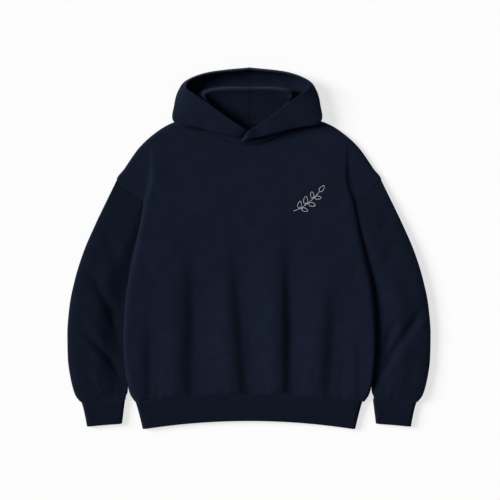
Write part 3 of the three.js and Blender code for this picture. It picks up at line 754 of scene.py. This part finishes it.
def hem_rings(rows, shrink):
    """The hem band's rings from its seam to its end."""
    t = rows[:, None]
    half = mix(HEM["seam_half"], HEM["end_half"], t ** HEM["taper"])
    loft = mix(HEM["loft"], HEM["end_loft"], t)
    w = across_tube(half * 2, HEM["roll"], *HEM_COLUMNS)

    def plan_at(share):
        x = (2 * share - 1) * half
        reach = np.minimum(np.abs(x) / half, 1)
        spread = np.where(x > 0, RIGHT_SPREAD, 1)
        seam_y = HEM["seam_y"] - HEM["seam_arc"] * (reach / spread) ** ROW_BEND - SEAM_GAP
        return x, mix(seam_y, HEM["end_y"] - HEM["end_arc"] * reach**2, t)

    x = plan_at(w / half / 2)[0]
    wave = HEM_WAVE["depth"] * rough(x, t * HEM_WAVE["down"], HEM_WAVE["size"], SEED["hem"])
    wave = np.abs(wave * smooth(t / HEM_WAVE["start"]))
    dip = -seam_dip(t * HEM["length"])
    return tube_rings(w, half * 2, HEM["roll"], loft, plan_at, shrink, dip - wave)


def root_gap(a, b):
    return np.sqrt(np.maximum(np.linalg.norm(b - a, axis=-1, keepdims=True), 1e-7))


def spline(points, at, centripetal):
    """Catmull-Rom curves through points on the first axis of an array, at places from 0 to 1."""
    count = len(points)
    before, after = 2 * points[0] - points[1], 2 * points[-1] - points[-2]
    reach = np.concatenate([before[None], points, after[None]])
    place = at * (count - 1)
    i = np.minimum(np.floor(place).astype(int), count - 2)
    s = (place - i).reshape((-1,) + (1,) * (points.ndim - 1))
    p0, p1, p2, p3 = (reach[i + n] for n in range(4))
    if centripetal:
        d0, d1, d2 = root_gap(p0, p1), root_gap(p1, p2), root_gap(p2, p3)
        m1 = ((p1 - p0) / d0 - (p2 - p0) / (d0 + d1) + (p2 - p1) / d1) * d1
        m2 = ((p2 - p1) / d1 - (p3 - p1) / (d1 + d2) + (p3 - p2) / d2) * d1
    else:
        m1, m2 = (p2 - p0) / 2, (p3 - p1) / 2
    cubic = 2 * p1 - 2 * p2 + m1 + m2
    square = 3 * p2 - 3 * p1 - 2 * m1 - m2
    return p1 + s * (m1 + s * (square + s * cubic))


def hood_middle(side, along, across):
    """The middle of one hood half's cloth: its rows run from the neck seam to the rim."""
    sections = np.array([*HOOD_FRONT_END[side], *HOOD]) / 1000
    sections[:, :, 0] *= HOOD_RIGHT_SPREAD if side > 0 else -1
    neck, crest = sections[:, 0], sections[:, 1]
    bowl = mix(neck, crest, HOOD_BOWL_AT)
    under_crest = mix(neck, crest, HOOD_UNDER_CREST_AT)
    sag = HOOD_BOWL_SAG * smooth((crest[:, 2] - neck[:, 2]) / HOOD_FULL_SAG_RISE)
    bowl[:, 2] -= sag
    under_crest[:, 2] -= HOOD_UNDER_CREST_SAG * sag
    controls = np.stack([neck, bowl, under_crest, *(sections[:, n] for n in range(1, 5))])
    lengthwise = spline(np.swapaxes(controls, 0, 1), along, False)
    return spline(np.swapaxes(lengthwise, 0, 1), across, True)


def distance_from_row(grid, row):
    """How far along its columns each point of a grid is from one of its rows."""
    step = np.linalg.norm(np.diff(grid, axis=0), axis=2)
    run = np.concatenate([np.zeros((1, grid.shape[1])), np.cumsum(step, axis=0)])
    return np.abs(run - run[row])


def line_at(grid, normal, distance):
    """The line on a grid at a distance from its first row, and the normals along it."""
    run = distance_from_row(grid, 0)

    def pick(values):
        picked = []
        for j in range(grid.shape[1]):
            picked.append([np.interp(distance, run[:, j], values[:, j, k]) for k in range(3)])
        return np.array(picked)

    return pick(grid), pick(normal)


def hood_hem_width(share):
    """The width of the rim's hem, which is wider at the back."""
    back = smooth((share - HOOD_HEM_TURN["start"]) / HOOD_HEM_TURN["over"])
    return mix(HOOD_HEM, HOOD_HEM_BACK, back)


def surface_finder(grid, normal):
    """The function that finds the points of a surface over a line of x and y."""
    flat = grid[..., :2].reshape(-1, 2)
    everywhere, directions = grid.reshape(-1, 3), normal.reshape(-1, 3)

    def find(line):
        found = []
        for x, y in line:
            away = np.hypot(flat[:, 0] - x, flat[:, 1] - y)
            near = np.argpartition(away, NEAREST)[:NEAREST]
            weight = 1 / (away[near] + 1e-6)
            weight /= weight.sum()
            z = (everywhere[near, 2] * weight).sum()
            found.append([x, y, z, *(directions[near] * weight[:, None]).sum(axis=0)])
        found = np.array(found)
        return found[:, :3], found[:, 3:]

    return find


def sprig_lines():
    """The lines of a curved stem with leaves on both sides, as points in x and y."""
    start, bend, tip = (np.array(SPRIG[name]) for name in ("start", "bend", "tip"))

    def stem(u):
        return (1 - u) ** 2 * start + 2 * u * (1 - u) * bend + u * u * tip

    lines = [np.array([stem(u) for u in np.linspace(0, SPRIG["stem_end"], SPRIG_POINTS["stem"])])]
    for share, turn, long in SPRIG["leaves"]:
        root = stem(share)
        ahead = stem(share + 0.01) - root
        angle = math.atan2(ahead[1], ahead[0]) + math.radians(turn)
        along = np.array([math.cos(angle), math.sin(angle)])
        aside = np.array([-along[1], along[0]])
        round_leaf = np.linspace(0, 2 * math.pi, SPRIG_POINTS["leaf"])
        reach = (LEAF["middle"] - LEAF["half"] * np.cos(round_leaf)) * long
        shape = LEAF["fullness"] + LEAF["taper"] * np.cos(round_leaf)
        belly = LEAF["belly"] * long * np.sin(round_leaf) * shape
        lines.append(root + reach[:, None] * along + belly[:, None] * aside)
        stalk = np.linspace(0, LEAF["stalk"] * long, SPRIG_POINTS["stalk"])
        lines.append(root + stalk[:, None] * along)
    return lines


def socket(node, name, value):
    node.inputs[name].default_value = value


def uneven_tone(tree, shader, scale, detail, places, colors):
    """A colour that wanders between two. Returns the position that its noise is read at."""
    add, link = tree.nodes.new, tree.links.new
    where, tone, ramp = (add("ShaderNode" + kind) for kind in ("TexCoord", "TexNoise", "ValToRGB"))
    socket(tone, "Scale", scale)
    socket(tone, "Detail", detail)
    for element, place, color in zip(ramp.color_ramp.elements, places, colors):
        element.position, element.color = place, (*color, 1)
    link(where.outputs["Object"], tone.inputs["Vector"])
    link(tone.outputs["Fac"], ramp.inputs["Fac"])
    link(ramp.outputs["Color"], shader.inputs["Base Color"])
    return where.outputs["Object"]


def cloth_material(name, base, pattern, variation=0.12, sheen=0.1, bump=0.25):
    """Matt navy cloth: slightly uneven in tone, with a fine relief from its knit or weave."""
    material = bpy.data.materials.new(name)
    material.use_nodes = True
    tree = material.node_tree
    tree.nodes.clear()
    add, link = tree.nodes.new, tree.links.new
    out, shader = add("ShaderNodeOutputMaterial"), add("ShaderNodeBsdfPrincipled")
    link(shader.outputs["BSDF"], out.inputs["Surface"])
    socket(shader, "Roughness", 0.92)
    socket(shader, "Specular IOR Level", 0.1)
    socket(shader, "Sheen Weight", sheen)
    socket(shader, "Sheen Roughness", 0.55)
    socket(shader, "Sheen Tint", (0.3, 0.38, 0.6, 1))

    colors = [[c * share for c in base] for share in (1 - variation, 1 + variation)]
    where = uneven_tone(tree, shader, 38, 5, (0.3, 0.7), colors)

    fuzz = add("ShaderNodeTexNoise")
    socket(fuzz, "Scale", 900)
    socket(fuzz, "Detail", 3)
    link(where, fuzz.inputs["Vector"])
    height = math_node(tree, "ADD", pattern(tree, where), fuzz.outputs["Fac"])
    relief = add("ShaderNodeBump")
    socket(relief, "Strength", bump)
    socket(relief, "Distance", 0.00025)
    link(height, relief.inputs["Height"])
    link(relief.outputs["Normal"], shader.inputs["Normal"])
    return material


def math_node(tree, operation, first, second=None):
    node = tree.nodes.new("ShaderNodeMath")
    node.operation = operation
    for entry, value in zip(node.inputs, (first, second)):
        if isinstance(value, (int, float)):
            entry.default_value = value
        elif value is not None:
            tree.links.new(value, entry)
    return node.outputs[0]


def knit_pattern(wale, course):
    """The V-shaped loops of plain knit, in upright columns."""

    def build(tree, position):
        parts = tree.nodes.new("ShaderNodeSeparateXYZ")
        tree.links.new(position, parts.inputs[0])
        u = math_node(tree, "MULTIPLY", parts.outputs["X"], 1 / wale)
        in_wale = math_node(tree, "FRACT", u)
        from_middle = math_node(tree, "ABSOLUTE", math_node(tree, "SUBTRACT", in_wale, 0.5))
        v = math_node(tree, "MULTIPLY", parts.outputs["Y"], 1 / course)
        slant = math_node(tree, "ADD", v, math_node(tree, "MULTIPLY", from_middle, -1.4))
        loops = math_node(tree, "SINE", math_node(tree, "MULTIPLY", slant, 2 * math.pi))
        columns = math_node(tree, "COSINE", math_node(tree, "MULTIPLY", from_middle, 2 * math.pi))
        return math_node(tree, "ADD", math_node(tree, "MULTIPLY", loops, 0.5), columns)

    return build


def twill_pattern(pitch):
    """Slanted lines that change direction in bands, as on a herringbone tape."""

    def build(tree, position):
        parts = tree.nodes.new("ShaderNodeSeparateXYZ")
        tree.links.new(position, parts.inputs[0])
        bands = math_node(tree, "PINGPONG", parts.outputs["Y"], TWILL_BAND)
        slant = math_node(tree, "ADD", parts.outputs["X"], bands)
        return math_node(tree, "SINE", math_node(tree, "MULTIPLY", slant, 2 * math.pi / pitch))

    return build


def thread_material(name, color, sheen=0.0):
    material = bpy.data.materials.new(name)
    material.use_nodes = True
    tree = material.node_tree
    shader = tree.nodes["Principled BSDF"]
    socket(shader, "Roughness", 0.6)
    socket(shader, "Specular IOR Level", 0.25)
    socket(shader, "Sheen Weight", sheen)
    uneven_tone(tree, shader, 260, 2, (0, 1), ([c * 0.9 for c in color], color))
    return material


fleece = cloth_material("fleece", FLEECE_COLOR, knit_pattern(*FLEECE_KNIT))
# The sleeves get a darker copy of the fleece: painted shade, not a different cloth.
shaded_sleeve_fleece = cloth_material("shaded_sleeve_fleece", SLEEVE_SHADED_COLOR, knit_pattern(*FLEECE_KNIT))
rib = cloth_material("rib", RIB_COLOR, knit_pattern(*RIB_KNIT))
tape = cloth_material("tape", TAPE_COLOR, twill_pattern(TWILL_PITCH), bump=0.5)
navy_thread = thread_material("navy_thread", THREAD_COLOR)
pale_thread = thread_material("pale_thread", PALE_THREAD_COLOR)

# The body.
body_rows = fine_rows(NECK_ROW, MESH_ROWS["front"])
front_grid = body_grid(body_rows, "front", SIDE_ROLL, front_height)
front_outer, front_inner = panel_walls(body_rows, front_grid, -FLEECE)
front = shell("front_panel", front_outer, front_inner, fleece)
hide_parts("front")
back_rows = fine_rows(NECK_ROW, MESH_ROWS["back"])
back_grid = body_grid(back_rows, "back", BACK_ROLL, back_height)
back_outer, back_inner = panel_walls(back_rows, back_grid, FLEECE)
back = shell("back_panel", back_outer, back_inner, fleece)
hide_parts("back")

# The sleeves and the rib bands.
sleeve_rows = fine_rows(SLEEVE_LAST, MESH_ROWS["sleeve"], *SLEEVE_END_ROWS)
sleeve_tops, cuff_tops = {}, {}
band_ends = (False, True)
for side, word in SIDES:
    outer, inner = sleeve_rings(sleeve_rows, side, 0), sleeve_rings(sleeve_rows, side, FLEECE)
    sleeve = shell(f"sleeve_{word}_cloth", outer, inner, shaded_sleeve_fleece, True)
    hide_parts(f"sleeve_{word}")
    sleeve_tops[side] = outer[:, FIRST_STITCHED_COLUMN:-1]
    outer, inner = ribbed(cuff_rings(BAND_ROWS, side, 0)), cuff_rings(BAND_ROWS, side, RIB)
    cuff = shell(f"cuff_{word}_rib", outer, inner, rib, True, band_ends)
    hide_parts(f"cuff_{word}")
    cuff_tops[side] = outer
hem_outer = ribbed(hem_rings(BAND_ROWS, 0))
hem = shell("hem_rib", hem_outer, hem_rings(BAND_ROWS, RIB), rib, True, band_ends)
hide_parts("hem_band")

# The hood's halves, with the hem turned in along the rim.
hood_rows = np.linspace(0, 1, HOOD_ROWS)
hood_columns = np.linspace(0, 1, HOOD_COLUMNS)
hood_tops, hood_normals = {}, {}
for side, word in SIDES:
    middle = hood_middle(side, hood_columns, hood_rows)
    normal = normals_of(middle, False) * -side
    normal[:, -1, 0] = 0
    normal[:, -1] = unit(normal[:, -1])
    from_rim = distance_from_row(middle, -1)
    past_hem = from_rim - hood_hem_width(hood_columns)[None, :] + HOOD_HEM_EDGE
    thicker = HOOD_HEM_STEP * (1 - smooth(past_hem / (2 * HOOD_HEM_EDGE)))
    relief = HOOD_NOISE * cloth_noise(middle[..., 0], middle[..., 1], SEED["hood"] + side)
    relief = relief * smooth(from_rim / HOOD_RIM_FADE)
    top = middle + normal * (FLEECE / 2 + thicker + relief)[..., None]
    under = middle - normal * (FLEECE / 2 - relief)[..., None]
    half = shell(f"hood_{word}_half", top, under, fleece, False, (True, True))
    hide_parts(f"hood_{word}")
    hood_tops[side], hood_normals[side] = top, normal

# The tape over the back neck seam.
neck_row = np.array(float(NECK_ROW))
tape_x = np.linspace(NECK_TAPE["from_x"], NECK_TAPE["to_x"], TAPE_MESH[1])
neck_half = column(BODY["half"], neck_row)
neck_y = body_plan(neck_row, neck_half - np.abs(tape_x), 1, "back")[1]
down = NECK_TAPE["inset"] + NECK_TAPE["width"] * np.linspace(0, 1, TAPE_MESH[0])[:, None]
tape_top = FLEECE + SEAM_GAP + TAPE
tape_grid = np.broadcast_arrays(tape_x[None, :], neck_y[None, :] - down, tape_top)
tape_grid = np.stack(tape_grid, axis=-1)
neck_tape = shell("neck_tape_strip", tape_grid, tape_grid - [0, 0, TAPE], tape)
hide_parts("neck_tape")


def stitch_line(grid, normal, distance):
    """Stitches at a distance from the first row of a grid."""
    points, normals = line_at(grid, normal, distance)
    return seam_row(points, normals, STITCH["pitch"], STITCH["radius"] * STITCH_LIFT)


def rim_stitches(side):
    """The stitches of the rim's hem, a little inside its edge."""
    top, normal = hood_tops[side], hood_normals[side]
    wanted = hood_hem_width(hood_columns) - RIM_STITCH_INSET
    nearest = np.argmin(np.abs(distance_from_row(top, -1) - wanted), axis=0)
    every = np.arange(len(nearest))
    points, normals = top[nearest, every], normal[nearest, every]
    return seam_row(points, normals, STITCH["pitch"], RIM_STITCH_HEIGHT)


# Stitches: over the seams of the bands, inside the armholes, round the hood's rim and neckline
# and on both sides of its middle seam.
front_up = normals_of(front_outer, False)
hem_top = hem_outer[:, : hem_outer.shape[1] // 2 + 1]
hem_up = normals_of(hem_top, False)
first_row, last_row = ARMPIT_ROW + ARMHOLE_FREE[0], SHOULDER_POINT_ROW - ARMHOLE_FREE[1]
at_armhole = (body_rows > first_row) & (body_rows < last_row)
lines = [
    stitch_line(front_outer, front_up, BAND_STITCH),
    stitch_line(hem_top[:, ::2], hem_up[:, ::2], BAND_STITCH),
]
for side in (-1, 1):
    lines.append(rim_stitches(side))
    from_middle = np.swapaxes(hood_tops[side], 0, 1)[::-1]
    lines.append(stitch_line(from_middle, np.swapaxes(hood_normals[side], 0, 1)[::-1], COVER_SEAM))
    upper = sleeve_tops[side][:, : sleeve_tops[side].shape[1] // 2]
    lines.append(stitch_line(upper[::-1], normals_of(upper, False)[::-1] * -side, BAND_STITCH))
    cuff_top = cuff_tops[side][:, : cuff_tops[side].shape[1] // 2 + 1]
    lines.append(stitch_line(cuff_top, normals_of(cuff_top, False) * -side, BAND_STITCH))
    inwards = 1 if side < 0 else -1
    edge = np.swapaxes(front_outer, 0, 1)[::inwards, at_armhole]
    edge_up = np.swapaxes(front_up, 0, 1)[::inwards, at_armhole]
    lines.append(stitch_line(edge, edge_up, ARMHOLE_STITCH))
for distance in NECKLINE_STITCHES:
    lines.append(stitch_line(front_outer[::-1], front_up[::-1], distance))
places, along, up = (np.concatenate(parts) for parts in zip(*lines))
threads("stitches", places, along, up, STITCH["length"], STITCH["radius"], navy_thread)

# A small sprig of leaves, embroidered on the chest in pale satin stitch.
points_at = surface_finder(front_outer, front_up)
satin = []
for line in sprig_lines():
    on_cloth, normal = points_at(line)
    place, along, up = seam_row(on_cloth, normal, SATIN["pitch"], SATIN["radius"] * SATIN_LIFT)
    satin.append((place, np.cross(up, along), up))
places, along, up = (np.concatenate(parts) for parts in zip(*satin))
threads("chest_sprig", places, along, up, SATIN["length"], SATIN["radius"], pale_thread)

# A pale floor that glows a little, so that it stays white in the picture.
floor_material = bpy.data.materials.new("floor")
floor_material.use_nodes = True
floor_shader = floor_material.node_tree.nodes["Principled BSDF"]
socket(floor_shader, "Base Color", (FLOOR["base"], FLOOR["base"], FLOOR["base"], 1))
socket(floor_shader, "Emission Color", (1, 1, 1, 1))
socket(floor_shader, "Emission Strength", FLOOR["glow"])
socket(floor_shader, "Roughness", 0.9)
socket(floor_shader, "Specular IOR Level", 0.0)
bpy.ops.mesh.primitive_plane_add(size=FLOOR["size"], location=(0, 0, FLOOR["height"]))
floor = bpy.context.object
floor.name = "floor"
floor.data.materials.append(floor_material)

# A soft light from the upper left, a little light from all round and a camera straight above.
scene = bpy.context.scene
scene.view_settings.view_transform = "Standard"
world = bpy.data.worlds.new("studio")
world.use_nodes = True
socket(world.node_tree.nodes["Background"], "Color", (1, 1, 1, 1))
socket(world.node_tree.nodes["Background"], "Strength", WORLD_STRENGTH)
scene.world = world
sun = bpy.data.lights.new("key", "SUN")
sun.energy = LIGHT_STRENGTH
sun.angle = math.radians(LIGHT_ANGLE)
key = bpy.data.objects.new("key", sun)
key.rotation_euler = Vector(LIGHT_FROM).to_track_quat("Z", "Y").to_euler()
scene.collection.objects.link(key)
camera_data = bpy.data.cameras.new("camera")
camera_data.sensor_width = SENSOR
camera_data.lens = SENSOR * CAMERA[2] / FRAME_WIDTH
camera = bpy.data.objects.new("camera", camera_data)
camera.location = CAMERA
scene.collection.objects.link(camera)
scene.camera = camera
